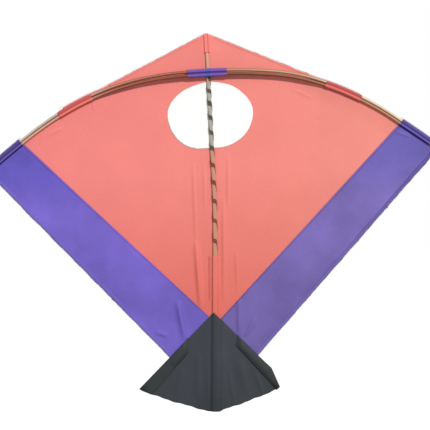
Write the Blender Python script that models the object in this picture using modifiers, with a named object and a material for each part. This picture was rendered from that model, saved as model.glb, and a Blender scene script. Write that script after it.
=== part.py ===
"""Diamond fighter kite: tissue-paper sail on a bamboo bow and spine.

Metres, +Z up. The kite stands upright in the XZ plane, nose up, with its frame side towards -Y.
The origin is where the bow crosses the spine. Paper is 0.3 mm thick here, so that every sheet is
a sound solid, and neighbouring pieces are a small gap apart.
"""

import math

import bpy
import numpy as np

# Driving dimensions
HALF_SPAN = 0.268
NOSE_HEIGHT = 0.0483
NOSE_EDGE_SLOPE = 0.461  # fall of the upper edges from the nose to the shoulders
TIP_HEIGHT = -0.1075  # where the lower edges start, at the wing tips
TAIL_POINT = (-0.012, -0.396)  # lower corner of the paper diamond

BOW_HALF_LENGTH = 0.2915
BOW_END_ANGLE = math.radians(37.5)
BOW_BEND_START = 0.85  # below 1 the bend starts nearer the spine
SPLINT_RADIUS = 0.0021
SPLINT_TIP_RADIUS = 0.00145

SPINE_TOP = 0.0460
SPINE_FOOT = -0.4030
SPINE_WIDTH = 0.0046
SPINE_NOSE_WIDTH = 0.0034
SPINE_THICKNESS = 0.0020
DRIFT_START = -0.150  # below this the spine leans to the left
DRIFT_AT_FOOT = 0.0138
DRIFT_POWER = 1.15

BINDING_DIAMETER = 0.0010
BINDING_START = -0.0065
BINDING_PITCH = 0.0145
BINDING_PITCH_GROWTH = 0.0011  # each turn is this much longer than the one above
BINDING_TURNS = 10.6

SEAM_TOP = (0.2235, -0.0768)
SEAM_CORNER = (-0.0059, -0.2998)
SEAM_LAP = 0.006
SEAM_PAST_EDGE = 0.0105  # from the seam's upper reference point to the sail's edge
PANEL_TRIM = 0.004  # the coral panel stops short of the corner of its lap by this, along X
MOON_CENTRE = (-0.0003, -0.0502)
MOON_HALF_SIZE = (0.0514, 0.0397)
MOON_LAP = 0.0045

PAPER = 0.0003
GAP = 0.0003
THREAD = 0.0006
HEM_WIDTH = 0.005
EDGE_PROUD = 0.0020  # sail edge beyond the bow's upper side
SHOULDER_SEARCH = (0.100, 0.200)  # the upper edge meets the bow between these distances
UPPER_HEM_WIDTH = 0.0035
UPPER_HEM_SHARES = (0.12, 0.93)  # of the way from the nose to the shoulder
LOWER_HEM_SHARES = (0.02, 0.90)  # of the way from the wing tip to the tail
LOWER_THREAD_SHARES = (0.006, 0.994)
UPPER_THREAD_ENDS = (0.0012, HALF_SPAN - 0.001)  # from the spine, along X
UPPER_THREAD_RISE = 1.15  # the upper edges slope, so the thread's distance grows along Z
KNOT_RADIUS = 0.0009
KNOT_SHARES = {"left": 0.543, "right": 0.222}  # of the way from the wing tip to the tail

TAB_SPAN = (0.140, 0.181)  # from the spine, along X
SLEEVE_SPAN = (0.2275, 0.2615)
WRAP_SPAN = (-0.0250, 0.0222)
TAB_FOOT = 0.004
SLEEVE_FOOT = 0.003
FOOT_FALL = 0.001  # how far from the bow its paper reaches the sail
LASHING_CLEARANCE = 0.0004
TIP_TIE_X = 0.2638
TAIL_TIE_Z = -0.3900
TIP_TIE_ROUNDNESS = 0.7  # powers of a superellipse: 1 is round, 0 is square
LATH_TURN_ROUNDNESS = 0.5

# Cover strips: top, bottom and the half width of the foot
NOSE_STRIP = (0.0425, 0.0247, 0.0050)
SPINE_STRIP = (-0.2188, -0.2905, 0.0070)

FAN_APEX = (-0.0084, -0.2862)
FAN_SIDE_LEFT = (-0.1020, -0.3738)
FAN_SIDE_RIGHT = ((0.0430, -0.3423), (0.0570, -0.3568), (0.0660, -0.3798))
FAN_FOOT = (-0.0138, -0.4052)
FAN_MIDDLE = (-0.0120, -0.3560)
FAN_HEM_INSET = 0.0012
FAN_HEM_WIDTH = 0.0100
FAN_FIRST_ROW = 0.05  # the fan's narrow end, as a share of the way from its apex to its rim
FAN_LEFT_RIM_END = 0.88  # share of the way from the left corner to the foot
FAN_RIGHT_RIM_START = 0.16  # share of the way from the foot to the right corner
FAN_FOOT_ROUNDING = (-0.0090, -0.0062, -0.0034, -0.0015, 0.0015, 0.0034, 0.0062, 0.0090)
FAN_FOOT_SLOPE = 0.28
FAN_FOLD_START = {"left": 0.34, "right": 0.52}  # share of each side above its fold
FAN_FOLD_END = 0.14  # where the folds meet the bottom edge, as a share from its corners
FAN_SPLINT_INSET = 0.0030
FAN_SPLINT_SIZE = (0.0014, 0.0008)
FAN_SPLINT_END = 0.96  # share of the way from the apex to the side's first corner
FAN_RIDGE_CLEARANCE = 0.0002
FAN_RIDGE_HALF_WIDTH = (0.0032, 0.0090)  # flat top, and where it has come down to the sail

# Levels along Y, from the spine's front face backwards
SPINE_FRONT = 0.00045
SPINE_MIDDLE = SPINE_FRONT + SPINE_THICKNESS / 2
SPINE_BACK = SPINE_FRONT + SPINE_THICKNESS
BOW_BACK = -0.00045
BINDING_BACK = SPINE_BACK + GAP + BINDING_DIAMETER
FRONT_SHEET = BINDING_BACK + GAP + PAPER / 2
BACK_SHEET = FRONT_SHEET + PAPER + GAP
HEM_SHEET = FRONT_SHEET - PAPER - GAP
FAN_SHEET = HEM_SHEET - PAPER - GAP
FAN_SPLINT_LEVEL = FAN_SHEET - PAPER / 2 - GAP - FAN_SPLINT_SIZE[1] / 2
FAN_HEM_SHEET = FAN_SPLINT_LEVEL - FAN_SPLINT_SIZE[1] / 2 - GAP - PAPER / 2
FAN_RIDGE = SPINE_FRONT - GAP - THREAD - GAP - PAPER / 2 - FAN_RIDGE_CLEARANCE

CORAL = (0.84, 0.255, 0.215)
PURPLE = (0.155, 0.105, 0.50)
WHITE = (0.92, 0.91, 0.87)
CHARCOAL = (0.050, 0.056, 0.068)
WRAP_BLUE = (0.085, 0.040, 0.33)
BAMBOO = (0.55, 0.36, 0.20)
BAMBOO_DARK = (0.36, 0.20, 0.10)
THREAD_DARK = (0.045, 0.032, 0.030)
THREAD_PALE = (0.52, 0.50, 0.47)


# Scene helpers

def clear_scene():
    for old in list(bpy.data.objects):
        bpy.data.objects.remove(old, do_unlink=True)


def make_material(name, colour, roughness):
    material = bpy.data.materials.new(name)
    material.use_nodes = True
    shader = material.node_tree.nodes["Principled BSDF"]
    shader.inputs["Base Color"].default_value = (*colour, 1.0)
    shader.inputs["Roughness"].default_value = roughness
    shader.inputs["Metallic"].default_value = 0.0
    return material


def add_object(name, data, colour, roughness=0.7):
    """A node named like its piece, with a material of its own, hung on the kite's empty."""
    obj = bpy.data.objects.new(name, data)
    data.materials.append(make_material(f"{name}_finish", colour, roughness))
    KITE.objects.link(obj)
    obj.parent = ROOT
    return obj


def flat_piece(name, outline, level, thickness, colour, hole=None):
    """A flat sheet or lath: an outline of (x, z) points, filled and given its thickness along Y."""
    curve = bpy.data.curves.new(name, "CURVE")
    curve.dimensions = "2D"
    curve.fill_mode = "BOTH"
    curve.extrude = thickness / 2
    for loop in [outline] + ([hole] if hole else []):
        spline = curve.splines.new("POLY")
        spline.points.add(len(loop) - 1)
        for point, (x, z) in zip(spline.points, loop):
            point.co = (x, z, 0.0, 1.0)
        spline.use_cyclic_u = True
    obj = add_object(name, curve, colour)
    obj.rotation_euler = (math.pi / 2, 0.0, 0.0)
    obj.location = (0.0, level, 0.0)
    return obj


def rod(name, points, diameter, colour, radii=None, cyclic=False, roughness=0.8):
    """A thread or splint along (x, y, z) points; radii are shares of the full radius."""
    curve = bpy.data.curves.new(name, "CURVE")
    curve.dimensions = "3D"
    curve.bevel_depth = diameter / 2
    curve.bevel_resolution = 2
    curve.use_fill_caps = not cyclic
    spline = curve.splines.new("POLY")
    spline.points.add(len(points) - 1)
    for index, point in enumerate(points):
        spline.points[index].co = (*point, 1.0)
        if radii is not None:
            spline.points[index].radius = radii[index]
    spline.use_cyclic_u = cyclic
    return add_object(name, curve, colour, roughness)


def shell(name, rows, colour):
    """A sheet of paper lofted through rows of points and thickened about its middle."""
    width = len(rows[0])
    points = [tuple(point) for row in rows for point in row]
    faces = [
        (r * width + c, (r + 1) * width + c, (r + 1) * width + c + 1, r * width + c + 1)
        for r in range(len(rows) - 1)
        for c in range(width - 1)
    ]
    mesh = bpy.data.meshes.new(name)
    mesh.from_pydata(points, [], faces)
    obj = add_object(name, mesh, colour)
    solidify = obj.modifiers.new("Paper", "SOLIDIFY")
    solidify.thickness = PAPER
    solidify.offset = 0.0
    return obj


# Shape laws

def bow_curve(count=401):
    """The bow's centreline from the spine to a tip: its slope grows from level to its end angle."""
    share = np.linspace(0.0, 1.0, count)
    slope = BOW_END_ANGLE * np.sin(math.pi / 2 * share**BOW_BEND_START) ** 2
    step = BOW_HALF_LENGTH / (count - 1)
    x = np.concatenate([[0.0], np.cumsum(np.cos((slope[1:] + slope[:-1]) / 2)) * step])
    z = -np.concatenate([[0.0], np.cumsum(np.sin((slope[1:] + slope[:-1]) / 2)) * step])
    return x, z, slope, share


BOW_X, BOW_Z, BOW_SLOPE, BOW_SHARE = bow_curve()


def splint_radius(share):
    return SPLINT_RADIUS + (SPLINT_TIP_RADIUS - SPLINT_RADIUS) * share


def bow_level(share):
    """Y of the bow's middle: on the spine at the crossing, close to the paper at the tips."""
    middle = BOW_BACK - SPLINT_RADIUS
    tip = HEM_SHEET - PAPER / 2 - GAP - SPLINT_TIP_RADIUS
    return middle + (tip - middle) * share**1.5


def bow_at(x):
    """Place, outward direction, level and splint radius of the bow at a signed x."""
    side = 1.0 if x >= 0 else -1.0
    z = np.interp(abs(x), BOW_X, BOW_Z)
    slope = np.interp(abs(x), BOW_X, BOW_SLOPE)
    share = np.interp(abs(x), BOW_X, BOW_SHARE)
    outward = (side * math.sin(slope), math.cos(slope))
    return (x, z), outward, bow_level(share), splint_radius(share)


def half_height(radius):
    """From the bow's centreline to the outer side of either splint."""
    return 2 * radius + GAP / 2


def spine_x(z):
    if z > DRIFT_START:
        return 0.0
    return -DRIFT_AT_FOOT * ((DRIFT_START - z) / (DRIFT_START - SPINE_FOOT)) ** DRIFT_POWER


def shifted(point, direction, distance):
    return (point[0] + direction[0] * distance, point[1] + direction[1] * distance)


def between(start, end, share):
    return (start[0] + (end[0] - start[0]) * share, start[1] + (end[1] - start[1]) * share)


def inward(start, end, inside):
    """Unit vector square to the line start-end, towards the point inside."""
    dx, dz = end[0] - start[0], end[1] - start[1]
    length = math.hypot(dx, dz)
    normal = (-dz / length, dx / length)
    towards = (inside[0] - start[0]) * normal[0] + (inside[1] - start[1]) * normal[1]
    return normal if towards > 0 else (-normal[0], -normal[1])


# Outlines, as (x, z), for side = 1 (right) or -1 (left)

def nose_line(x):
    return NOSE_HEIGHT - NOSE_EDGE_SLOPE * x


def bow_side_edge(x):
    """Height of the sail's edge where it follows the bow, x from the spine."""
    (_, z), outward, _, radius = bow_at(x)
    return z + (half_height(radius) + EDGE_PROUD) / outward[1]


def shoulder():
    """Distance from the spine at which the straight upper edge first meets the bow's outer side."""
    return next(x for x in np.linspace(*SHOULDER_SEARCH, 401) if bow_side_edge(x) > nose_line(x))


SHOULDER = shoulder()


def round_edge(side, first, last, count=20):
    """The sail's upper edge where it follows the bow, between two distances from the spine."""
    return [(side * x, bow_side_edge(x)) for x in np.linspace(first, last, count)]


def seam(side):
    """The seam's ends, from the sail's upper edge down to where the two seams meet."""
    top = (side * SEAM_TOP[0], SEAM_TOP[1])
    reach = 1 + SEAM_PAST_EDGE / math.dist(top, SEAM_CORNER)
    return between(SEAM_CORNER, top, reach), SEAM_CORNER


def lower_edge(side):
    return (side * HALF_SPAN, TIP_HEIGHT), TAIL_POINT


def ellipse(centre, half_size, count):
    return [
        (
            centre[0] + half_size[0] * math.cos(2 * math.pi * i / count),
            centre[1] + half_size[1] * math.sin(2 * math.pi * i / count),
        )
        for i in range(count)
    ]


def band(start, end, inside, near, far, first=0.0, last=1.0):
    """A straight strip along start-end, from near to far inside the line."""
    square = inward(start, end, inside)
    a, b = between(start, end, first), between(start, end, last)
    return [shifted(a, square, near), shifted(b, square, near),
            shifted(b, square, far), shifted(a, square, far)]


# The sail

def make_main_panel():
    """Coral panel: the nose, both shoulders, and down to the tail under the side strips."""
    halves = []
    for side in (-1, 1):
        top, corner = seam(side)
        square = inward(top, corner, (side * HALF_SPAN, TAIL_POINT[1]))
        lap_top = shifted(top, square, SEAM_LAP)
        halves.append(round_edge(side, SHOULDER, abs(lap_top[0]) - PANEL_TRIM) + [lap_top])
    left, right = halves
    foot = (SEAM_CORNER[0], SEAM_CORNER[1] - SEAM_LAP * math.sqrt(2))
    outline = [(0.0, NOSE_HEIGHT)] + right + [foot] + left[::-1]
    opening = (MOON_HALF_SIZE[0] - MOON_LAP, MOON_HALF_SIZE[1] - MOON_LAP)
    flat_piece("sail_main_panel", outline, BACK_SHEET, PAPER, CORAL, ellipse(MOON_CENTRE, opening, 64))


def make_moon():
    flat_piece("moon_disc", ellipse(MOON_CENTRE, MOON_HALF_SIZE, 72), FRONT_SHEET, PAPER, WHITE)


def make_side_strip(side, name):
    """Purple strip from the wing tip to the tail; the two strips part along the spine."""
    top, corner = seam(side)
    edge = round_edge(side, abs(top[0]), HALF_SPAN, 8)
    tip, tail = lower_edge(side)
    part = side * GAP / 2
    outline = edge + [tip, (tail[0] + part, tail[1]), (corner[0] + part, corner[1])]
    flat_piece(name, outline, FRONT_SHEET, PAPER, PURPLE)


def make_edges(side, word):
    """The thread that runs round the sail's edge, and the paper folded over it."""
    reach = GAP + THREAD / 2
    first, last = UPPER_THREAD_ENDS
    upper = [(side * x, nose_line(x)) for x in (first, SHOULDER / 2)]
    upper += round_edge(side, SHOULDER, last, 22)
    outside = [(x, z + reach * UPPER_THREAD_RISE) for x, z in upper]
    rod(f"edge_thread_upper_{word}", [(x, FRONT_SHEET, z) for x, z in outside], THREAD, THREAD_PALE)
    tip, tail = lower_edge(side)
    square = inward(tip, tail, (0.0, 0.0))
    ends = [shifted(between(tip, tail, share), square, -reach) for share in LOWER_THREAD_SHARES]
    rod(f"edge_thread_lower_{word}", [(x, FRONT_SHEET, z) for x, z in ends], THREAD, THREAD_PALE)
    nose = (0.0, NOSE_HEIGHT)
    bend = (side * SHOULDER, nose_line(SHOULDER))
    hem = band(nose, bend, (0.0, 0.0), 0.0, UPPER_HEM_WIDTH, *UPPER_HEM_SHARES)
    flat_piece(f"edge_hem_upper_{word}", hem, FRONT_SHEET, PAPER, CORAL)
    hem = band(tip, tail, (0.0, 0.0), -THREAD - GAP, HEM_WIDTH, *LOWER_HEM_SHARES)
    flat_piece(f"edge_hem_lower_{word}", hem, HEM_SHEET, PAPER, PURPLE)


def make_edge_knot(side, word):
    """The knotted end of the lower edge thread, on the front of its hem."""
    tip, tail = lower_edge(side)
    x, z = between(tip, tail, KNOT_SHARES[word])
    bpy.ops.mesh.primitive_uv_sphere_add(segments=12, ring_count=8, radius=KNOT_RADIUS)
    knot = bpy.context.object
    mesh = knot.data
    bpy.data.objects.remove(knot, do_unlink=True)
    obj = add_object(f"edge_knot_{word}", mesh, THREAD_DARK)
    obj.location = (x, HEM_SHEET - PAPER / 2 - GAP - KNOT_RADIUS, z)


# The frame

def make_bow():
    """Two bamboo splints side by side, both tapering to the tips."""
    shares = np.linspace(-1.0, 1.0, 61)
    for name, above, colour in (
        ("bow_upper_splint", 1, BAMBOO),
        ("bow_lower_splint", -1, BAMBOO_DARK),
    ):
        points, radii = [], []
        for share in shares:
            x = math.copysign(np.interp(abs(share), BOW_SHARE, BOW_X), share)
            place, outward, level, radius = bow_at(x)
            px, pz = shifted(place, outward, above * (radius + GAP / 2))
            points.append((px, level, pz))
            radii.append(radius / SPLINT_RADIUS)
        rod(name, points, 2 * SPLINT_RADIUS, colour, radii, roughness=0.5)


def make_spine():
    heights = [SPINE_TOP, 0.010] + list(np.linspace(-0.010, SPINE_FOOT, 18))
    left, right = [], []
    for z in heights:
        half = (SPINE_NOSE_WIDTH if z > 0 else SPINE_WIDTH) / 2
        left.append((spine_x(z) - half, z))
        right.append((spine_x(z) + half, z))
    flat_piece("spine", left + right[::-1], SPINE_MIDDLE, SPINE_THICKNESS, BAMBOO)


def squared(value, roundness):
    """A sine or cosine bent towards 1 or -1, which turns a circle into a superellipse."""
    return math.copysign(abs(value) ** roundness, value)


def make_binding(points_per_turn=16):
    """Thread wound round the spine in open turns that lengthen downwards."""
    reach_x = SPINE_WIDTH / 2 + GAP + BINDING_DIAMETER / 2
    reach_y = SPINE_THICKNESS / 2 + GAP + BINDING_DIAMETER / 2
    points = []
    for i in range(int(BINDING_TURNS * points_per_turn) + 1):
        turn = i / points_per_turn
        angle = 2 * math.pi * turn
        z = BINDING_START - BINDING_PITCH * turn - BINDING_PITCH_GROWTH / 2 * turn * (turn - 1)
        across = squared(math.sin(angle), LATH_TURN_ROUNDNESS)
        depth = -squared(math.cos(angle), LATH_TURN_ROUNDNESS)
        points.append((spine_x(z) + reach_x * across, SPINE_MIDDLE + reach_y * depth, z))
    rod("spine_binding", points, BINDING_DIAMETER, THREAD_DARK)


def bow_arch(level, radius, allowance, count=5):
    """Half a stadium over the front of both splints, as (outward offset, y), allowance clear of them."""
    centre = radius + GAP / 2
    reach = radius + allowance
    quarter = [
        (centre + reach * math.cos(angle), level - reach * math.sin(angle))
        for angle in np.linspace(0.0, math.pi / 2, count)
    ]
    return quarter + [(-offset, y) for offset, y in quarter[::-1]]


def make_lashing():
    """One square lashing: over the bow on both sides of the spine, behind the spine above and below."""
    side = SPINE_WIDTH / 2 + GAP + THREAD / 2 + LASHING_CLEARANCE
    arch = bow_arch(BOW_BACK - SPLINT_RADIUS, SPLINT_RADIUS, GAP + THREAD / 2)
    back = SPINE_BACK + GAP + THREAD / 2
    run = [(arch[0][0], back)] + arch + [(arch[-1][0], back)]
    loop = [(-side, y, z) for z, y in run] + [(side, y, z) for z, y in run[::-1]]
    rod("crossing_lashing", loop, THREAD, THREAD_DARK, cyclic=True)


def over_bow(name, first, last, allowance, feet, colour):
    """Paper bent over the front of the bow from first to last along X.

    feet is None for paper that only hugs the bow, or (outer level, inner level, inner foot width)
    for paper that comes down to the sail on both sides.
    """
    rows = []
    for x in np.linspace(first, last, 9):
        place, outward, level, radius = bow_at(x)
        half = half_height(radius) + allowance
        arch = bow_arch(level, radius, allowance)
        if feet is None:
            section = [(half, level + radius)] + arch + [(-half, level + radius)]
        else:
            outer, inner, foot = feet
            section = [(half, outer)] + arch + [(-half - FOOT_FALL, inner), (-half - foot, inner)]
        row = []
        for off, y in section:
            px, pz = shifted(place, outward, off)
            row.append((px, y, pz))
        rows.append(row)
    shell(name, rows, colour)


def make_bow_papers():
    wrap_room = GAP + THREAD + GAP + PAPER / 2
    over_bow("bow_centre_wrap", *WRAP_SPAN, wrap_room, None, WRAP_BLUE)
    paper_room = GAP + PAPER / 2
    for side, word in ((-1, "left"), (1, "right")):
        tab_level = BACK_SHEET - PAPER - GAP
        over_bow(f"shoulder_tab_{word}", side * TAB_SPAN[0], side * TAB_SPAN[1], paper_room,
                 (tab_level, tab_level, TAB_FOOT), CORAL)
        sleeve_level = FRONT_SHEET - PAPER - GAP
        over_bow(f"tip_sleeve_{word}", side * SLEEVE_SPAN[0], side * SLEEVE_SPAN[1], paper_room,
                 (sleeve_level, sleeve_level, SLEEVE_FOOT), PURPLE)


def make_tip_tie(side, word):
    """Thread round both splints near the bow's end."""
    place, outward, level, radius = bow_at(side * TIP_TIE_X)
    reach_high = half_height(radius) + GAP + THREAD / 2
    reach_deep = radius + GAP + THREAD / 2
    loop = []
    for i in range(16):
        angle = 2 * math.pi * i / 16
        high = squared(math.cos(angle), TIP_TIE_ROUNDNESS)
        px, pz = shifted(place, outward, reach_high * high)
        loop.append((px, level + reach_deep * math.sin(angle), pz))
    rod(f"tip_tie_{word}", loop, THREAD, THREAD_PALE, cyclic=True)


def make_tail_tie():
    """Thread round the spine where the lower edge threads come together."""
    z = TAIL_TIE_Z
    reach_x = SPINE_WIDTH / 2 + GAP + THREAD / 2
    reach_y = SPINE_THICKNESS / 2 + GAP + THREAD / 2
    loop = []
    for i in range(16):
        angle = 2 * math.pi * (i + 0.5) / 16
        across = squared(math.sin(angle), LATH_TURN_ROUNDNESS)
        depth = squared(math.cos(angle), LATH_TURN_ROUNDNESS)
        loop.append((spine_x(z) + reach_x * across, SPINE_MIDDLE + reach_y * depth, z))
    rod("tail_tie", loop, THREAD, THREAD_PALE, cyclic=True)


def make_cover_strip(name, spine_width, top, bottom, foot):
    """Coral paper pasted over the spine, down to the sail on both sides of it."""
    level = BACK_SHEET - PAPER - GAP
    front = SPINE_FRONT - GAP - PAPER / 2
    near = spine_width / 2 + GAP + PAPER / 2
    half_section = [(near - PAPER, front), (near + PAPER, front + 2 * PAPER),
                    (near + 2 * PAPER, level - 2 * PAPER), (near + 4 * PAPER, level), (foot, level)]
    section = [(-dx, y) for dx, y in half_section[::-1]] + half_section
    rows = [
        [(spine_x(z) + dx, y, z) for dx, y in section] for z in np.linspace(bottom, top, 9)
    ]
    shell(name, rows, CORAL)


# The tail fan

def fan_level(x, z):
    """Y of the fan: it rides over the spine and comes down to the sail on both sides."""
    near, far = FAN_RIDGE_HALF_WIDTH
    share = min(max((abs(x - spine_x(z)) - near) / (far - near), 0.0), 1.0)
    return FAN_RIDGE + (FAN_SHEET - FAN_RIDGE) * (1 - math.cos(math.pi * share)) / 2


def fan_rim():
    """The far side of the fan from its left corner round to the bend in its right side."""
    left = [between(FAN_SIDE_LEFT, FAN_FOOT, share) for share in np.linspace(0.0, FAN_LEFT_RIM_END, 9)]
    middle = [(FAN_FOOT[0] + dx, FAN_FOOT[1] + abs(dx) * FAN_FOOT_SLOPE) for dx in FAN_FOOT_ROUNDING]
    corner = FAN_SIDE_RIGHT[-1]
    right = [between(FAN_FOOT, corner, share) for share in np.linspace(FAN_RIGHT_RIM_START, 1.0, 7)]
    return left + middle + right + list(FAN_SIDE_RIGHT[1::-1])


def make_fan():
    rim = fan_rim()
    rows = []
    for share in np.linspace(FAN_FIRST_ROW, 1.0, 15):
        row = [between(FAN_APEX, point, share) for point in rim]
        rows.append([(x, fan_level(x, z), z) for x, z in row])
    shell("tail_fan", rows, CHARCOAL)


def towards_middle(point, distance):
    """A point moved towards the middle of the fan."""
    dx, dz = FAN_MIDDLE[0] - point[0], FAN_MIDDLE[1] - point[1]
    return shifted(point, (dx / math.hypot(dx, dz), dz / math.hypot(dx, dz)), distance)


def make_fan_side(word, side):
    """A sliver along one side of the fan, and the paper folded over it.

    side lists the corners from the apex's end down.
    """
    first = FAN_FOLD_START[word]
    square = inward(FAN_APEX, side[0], FAN_FOOT)
    start = between(FAN_APEX, side[0], first)
    rim = [towards_middle(point, FAN_HEM_INSET) for point in [start] + list(side)]
    fold_end = towards_middle(between(side[-1], FAN_FOOT, FAN_FOLD_END), FAN_HEM_INSET)
    hem = rim + [fold_end, shifted(start, square, FAN_HEM_WIDTH)]
    flat_piece(f"tail_hem_{word}", hem, FAN_HEM_SHEET, PAPER, CHARCOAL)
    near = FAN_SPLINT_INSET
    sliver = band(FAN_APEX, side[0], FAN_FOOT, near, near + FAN_SPLINT_SIZE[0], first,
                  FAN_SPLINT_END)
    flat_piece(f"tail_splint_{word}", sliver, FAN_SPLINT_LEVEL, FAN_SPLINT_SIZE[1], BAMBOO)


clear_scene()
KITE = bpy.data.collections.new("diamond_kite")
bpy.context.scene.collection.children.link(KITE)
ROOT = bpy.data.objects.new("bow_spine_crossing", None)
KITE.objects.link(ROOT)

make_main_panel()
make_moon()
make_bow()
make_spine()
make_binding()
make_lashing()
make_bow_papers()
make_tail_tie()
make_cover_strip("nose_cover_strip", SPINE_NOSE_WIDTH, *NOSE_STRIP)
make_cover_strip("spine_cover_strip", SPINE_WIDTH, *SPINE_STRIP)
make_fan()
make_fan_side("left", [FAN_SIDE_LEFT])
make_fan_side("right", FAN_SIDE_RIGHT)
for side, word in ((-1, "left"), (1, "right")):
    make_edge_knot(side, word)
    make_side_strip(side, f"side_strip_{word}")
    make_edges(side, word)
    make_tip_tie(side, word)
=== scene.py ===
"""Looks of the diamond kite: paper sheets, bamboo, thread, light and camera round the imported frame.

Metres, +Z up, the kite upright in the XZ plane with its frame side towards -Y.
"""

import math

import bpy
import numpy as np
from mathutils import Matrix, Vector, noise
from mathutils.geometry import delaunay_2d_cdt


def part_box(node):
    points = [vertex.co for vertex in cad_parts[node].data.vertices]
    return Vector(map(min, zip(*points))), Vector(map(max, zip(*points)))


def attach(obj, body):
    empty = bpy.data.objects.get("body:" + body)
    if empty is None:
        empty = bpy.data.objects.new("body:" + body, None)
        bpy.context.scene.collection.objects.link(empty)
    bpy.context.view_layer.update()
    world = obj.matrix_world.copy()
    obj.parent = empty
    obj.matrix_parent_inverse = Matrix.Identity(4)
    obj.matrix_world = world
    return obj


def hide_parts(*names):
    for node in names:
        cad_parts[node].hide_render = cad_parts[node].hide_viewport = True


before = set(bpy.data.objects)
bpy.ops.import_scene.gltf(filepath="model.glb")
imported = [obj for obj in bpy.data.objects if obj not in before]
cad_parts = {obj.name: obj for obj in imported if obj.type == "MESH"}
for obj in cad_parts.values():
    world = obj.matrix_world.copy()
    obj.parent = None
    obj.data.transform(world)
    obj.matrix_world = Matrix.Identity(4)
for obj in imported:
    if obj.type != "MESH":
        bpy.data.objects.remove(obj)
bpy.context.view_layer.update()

# The CAD's dimensions, which the shapes below are built on
PAPER = 0.00022
GAP = 0.0003
THREAD = 0.0006
THREAD_PITCH = 0.0018  # length of one twist
BOW_HALF_LENGTH = 0.2915
BOW_END_ANGLE = math.radians(37.5)
BOW_BEND_START = 0.85
SPLINT_RADIUS = 0.0021
SPLINT_TIP_RADIUS = 0.00145
SPINE_WIDTH = 0.0046
SPINE_NOSE_WIDTH = 0.0034
SPINE_THICKNESS = 0.002
SPINE_FRONT = 0.00045
SPINE_MIDDLE = SPINE_FRONT + SPINE_THICKNESS / 2
SPINE_FOOT = -0.403
LIMB_RISE = 0.0011  # how much further out the right limb is bent than the left one
DRIFT_START = -0.15
DRIFT_AT_FOOT = 0.0138
DRIFT_POWER = 1.15
BINDING_START = -0.0065
BINDING_PITCH = 0.0145
BINDING_PITCH_GROWTH = 0.0011
BINDING_TURNS = 10.6
MOON_CENTRE = (-0.0003, -0.0502)
NOSE = (0.0, 0.0483)
UPPER_SLOPE = 0.461  # how far a straight upper edge comes down per metre outwards
UPPER_EDGE_SPAN = 0.129
HALF_SPAN = 0.268
TIP_HEIGHT = -0.1075
TAIL_POINT = (-0.012, -0.396)
HEM_WIDTH = 0.005
TAB_SPAN = (0.14, 0.181)
SLEEVE_SPAN = (0.2275, 0.2615)
WRAP_SPAN = (-0.025, 0.0222)
TIP_TIE_PLACE = 0.2638
TAIL_TIE_HEIGHT = -0.39

# Levels along Y
FRONT_SHEET = 0.0042
BACK_SHEET = 0.0048
HEM_SHEET = 0.0036
FAN_SHEET = 0.003
FAN_RIDGE = -0.0007
FAN_NEAR = 0.0019  # the fan beside its ridge
BOW_MIDDLE_LEVEL = -0.00045 - SPLINT_RADIUS
BOW_TIP_LEVEL = HEM_SHEET - 0.00015 - GAP - SPLINT_TIP_RADIUS

SHEET_SPACING = 0.0016  # of the points in a sheet's mesh
FAN_SPACING = 0.0015
OUTLINE_SPACING = 0.0015


# Materials, each returned with the name of its slot

X_AXIS, Z_AXIS = 0, 2
ALONG, ROUND, OUTWARD = 0, 1, 2  # the three grain coordinates of a rod
LIT = 1.04  # brightness of a white surface that faces the camera


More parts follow.
